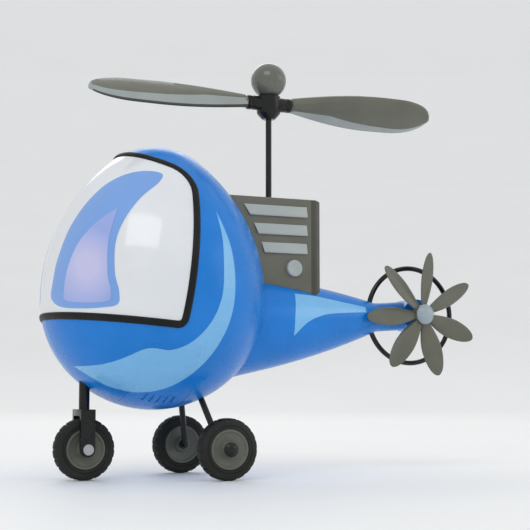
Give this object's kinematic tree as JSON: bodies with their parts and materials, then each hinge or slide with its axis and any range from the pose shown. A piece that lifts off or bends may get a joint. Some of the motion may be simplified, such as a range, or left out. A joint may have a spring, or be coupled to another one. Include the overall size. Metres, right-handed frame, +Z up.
{
  "type": "toy helicopter",
  "caption": "Toy helicopter: egg-shaped blue pod, white wrap-round windscreen, louvred engine block, geared main rotor, belt-driven tail fan in a wire hoop, wheels on legs.",
  "frame": {"origin": "on the floor, under the rotor mast, at the middle of the overall box", "axes": "+Z up, +X towards the tail, -Y towards the port side; the nose points along -X"},
  "size_m": [0.2307, 0.1098, 0.208],
  "materials": {
    "blue_plastic": "gloss blue ABS moulding",
    "screen_plastic": "milky white gloss moulding",
    "olive_plastic": "satin olive-grey ABS",
    "pale_plastic": "light grey ABS",
    "black_plastic": "black ABS",
    "white_nylon": "natural nylon",
    "black_rubber": "moulded rubber",
    "tyre_rubber": "soft tyre rubber",
    "steel": "zinc-plated steel",
    "black_steel": "black-lacquered steel",
    "brass": "turned brass",
    "cell_jacket": "jacketed dry cell",
    "red_insulation": "wire insulation"
  },
  "bodies": {
    "airframe": {"case_left": "blue_plastic", "case_right": "blue_plastic", "windscreen": "screen_plastic", "windscreen_seal": "black_rubber", "case_screws": "steel", "engine_housing": "olive_plastic", "louvres_left": "pale_plastic", "louvres_right": "pale_plastic", "housing_screws": "steel", "chassis": "olive_plastic", "motor_can": "steel", "motor_endcap": "white_nylon", "switch_body": "black_plastic", "upper_bush": "brass", "lower_bush": "brass", "drive_belt": "black_rubber", "tail_bushes": "brass", "tail_hoop": "black_plastic", "nose_weight": "steel", "battery_tray": "black_plastic", "battery_cells": "cell_jacket", "battery_contacts": "steel", "battery_door": "blue_plastic", "door_screw": "steel", "wire_red": "red_insulation", "wire_black": "black_rubber", "leg_left": "black_steel", "leg_right": "black_steel", "nose_fork": "black_plastic", "nose_axle": "steel", "axle_caps": "black_plastic"},
    "main_rotor": {"mast": "black_steel", "mast_gear": "white_nylon", "mast_pulley": "black_plastic", "rotor_hub": "black_plastic", "rotor_blade_front": "olive_plastic", "rotor_blade_rear": "olive_plastic", "rotor_ball": "black_plastic"},
    "motor_rotor": {"motor_shaft": "steel", "pinion": "brass"},
    "tail_rotor": {"tail_shaft": "steel", "tail_pulley": "black_plastic", "tail_fan": "olive_plastic", "tail_cap": "pale_plastic", "tail_collar": "steel"},
    "button": {"power_button": "pale_plastic"},
    "wheel_left": {"tyre_left": "tyre_rubber", "rim_left": "olive_plastic"},
    "wheel_right": {"tyre_right": "tyre_rubber", "rim_right": "olive_plastic"},
    "wheel_nose": {"tyre_nose": "tyre_rubber", "rim_nose": "olive_plastic"}
  },
  "joints": [
    {"name": "main_rotor_spin", "type": "hinge", "parent": "airframe", "child": "main_rotor", "pos_m": [0, 0, 0.187], "axis": [0, 0, 1], "continuous": true},
    {"name": "motor_spin", "type": "hinge", "parent": "airframe", "child": "motor_rotor", "pos_m": [-0.012, 0, 0.125], "axis": [0, 0, 1], "continuous": true},
    {"name": "tail_rotor_spin", "type": "hinge", "parent": "airframe", "child": "tail_rotor", "pos_m": [0.0823, 0, 0.0808], "axis": [0, 1, 0], "continuous": true},
    {"name": "button_press", "type": "slide", "parent": "airframe", "child": "button", "axis": [0, 1, 0], "range_m": [0, 0.0015], "stiffness_N_per_m": 900},
    {"name": "wheel_left_spin", "type": "hinge", "parent": "airframe", "child": "wheel_left", "pos_m": [-0.0355, -0.03, 0.0145], "axis": [0, 1, 0], "continuous": true},
    {"name": "wheel_right_spin", "type": "hinge", "parent": "airframe", "child": "wheel_right", "pos_m": [-0.0355, 0.03, 0.0145], "axis": [0, 1, 0], "continuous": true},
    {"name": "wheel_nose_spin", "type": "hinge", "parent": "airframe", "child": "wheel_nose", "pos_m": [-0.0955, 0, 0.0145], "axis": [0, 1, 0], "continuous": true}
  ],
  "couplings": [
    {"joint": "motor_spin", "follows": "main_rotor_spin", "ratio": -3},
    {"joint": "tail_rotor_spin", "follows": "main_rotor_spin", "ratio": 2.5}
  ]
}
